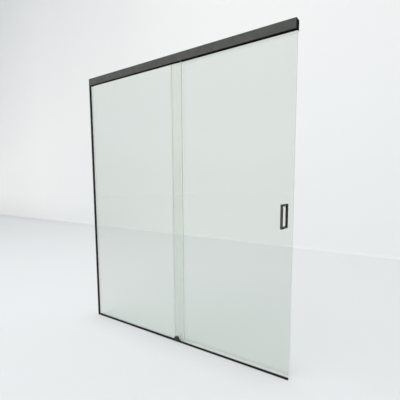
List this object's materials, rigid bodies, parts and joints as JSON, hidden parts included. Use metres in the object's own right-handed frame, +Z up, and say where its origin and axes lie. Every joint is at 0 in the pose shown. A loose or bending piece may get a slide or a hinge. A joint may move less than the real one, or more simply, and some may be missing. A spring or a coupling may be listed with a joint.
{
  "type": "sliding shower door",
  "caption": "Inline sliding shower door with clear toughened glass, a slim matt black header that hides the rollers, and a square black pull.",
  "frame": {"origin": "on the floor, under the middle of the header's length, in the mid-plane of the sliding pane", "axes": "+X along the door towards the handle, +Y into the shower, +Z up"},
  "size_m": [1.7, 0.093, 1.95],
  "materials": {
    "black_metal": "matt black powder coat on aluminium",
    "glass": "clear toughened glass with a faint green-grey tint",
    "stainless_steel": "brushed stainless steel",
    "black_plastic": "moulded black nylon",
    "black_rubber": "black synthetic rubber",
    "black_foam": "black closed-cell foam",
    "clear_plastic": "clear soft vinyl",
    "white_nylon": "natural white nylon"
  },
  "bodies": {
    "frame": {"header_fascia": "black_metal", "header_track": "black_metal", "roller_rail": "stainless_steel", "header_filler_strip": "black_plastic", "header_glazing_gasket": "black_rubber", "header_bracket_left": "black_metal", "header_bracket_right": "black_metal", "header_bracket_screws": "stainless_steel", "end_stop_left": "black_plastic", "end_stop_right": "black_plastic", "end_stop_bumpers": "black_rubber", "end_stop_screws": "stainless_steel", "fixed_glass": "glass", "wall_jamb": "black_metal", "jamb_glazing_tape": "black_foam", "jamb_glazing_gasket": "clear_plastic", "bottom_channel": "black_metal", "bottom_glazing_tape": "black_foam", "bottom_glazing_gasket": "clear_plastic", "setting_blocks": "black_plastic", "threshold_bar": "black_metal", "threshold_end_cap": "black_plastic", "bottom_guide": "black_plastic", "guide_shoe": "clear_plastic", "guide_liners": "white_nylon"},
    "sliding_door": {"sliding_glass": "glass", "hanger_plate_left": "stainless_steel", "hanger_plate_right": "stainless_steel", "hanger_back_plate_left": "black_metal", "hanger_back_plate_right": "black_metal", "hanger_gaskets": "black_rubber", "hanger_bolts": "stainless_steel", "hanger_bushes": "white_nylon", "roller_axles": "stainless_steel", "anti_jump_blocks": "black_plastic", "anti_jump_screws": "stainless_steel", "handle_front": "black_metal", "handle_rear": "black_metal", "handle_studs": "stainless_steel", "handle_washers": "clear_plastic", "handle_bushes": "white_nylon", "handle_grub_screws": "stainless_steel", "panel_overlap_seal": "clear_plastic"},
    "roller_1": {"roller_tyre_1": "white_nylon", "roller_bearing_1": "stainless_steel"},
    "roller_2": {"roller_tyre_2": "white_nylon", "roller_bearing_2": "stainless_steel"},
    "roller_3": {"roller_tyre_3": "white_nylon", "roller_bearing_3": "stainless_steel"},
    "roller_4": {"roller_tyre_4": "white_nylon", "roller_bearing_4": "stainless_steel"}
  },
  "joints": [
    {"name": "door_slide", "type": "slide", "parent": "frame", "child": "sliding_door", "axis": [-1, 0, 0], "range_m": [0, 0.675]},
    {"name": "roller_1_turn", "type": "hinge", "parent": "sliding_door", "child": "roller_1", "pos_m": [0.0675, -0.0175, 1.9283], "axis": [0, 1, 0], "continuous": true},
    {"name": "roller_2_turn", "type": "hinge", "parent": "sliding_door", "child": "roller_2", "pos_m": [0.1375, -0.0175, 1.9283], "axis": [0, 1, 0], "continuous": true},
    {"name": "roller_3_turn", "type": "hinge", "parent": "sliding_door", "child": "roller_3", "pos_m": [0.7025, -0.0175, 1.9283], "axis": [0, 1, 0], "continuous": true},
    {"name": "roller_4_turn", "type": "hinge", "parent": "sliding_door", "child": "roller_4", "pos_m": [0.7725, -0.0175, 1.9283], "axis": [0, 1, 0], "continuous": true}
  ],
  "couplings": [
    {"joint": "roller_1_turn", "follows": "door_slide", "rad_per_m": -100},
    {"joint": "roller_2_turn", "follows": "door_slide", "rad_per_m": -100},
    {"joint": "roller_3_turn", "follows": "door_slide", "rad_per_m": -100},
    {"joint": "roller_4_turn", "follows": "door_slide", "rad_per_m": -100}
  ]
}
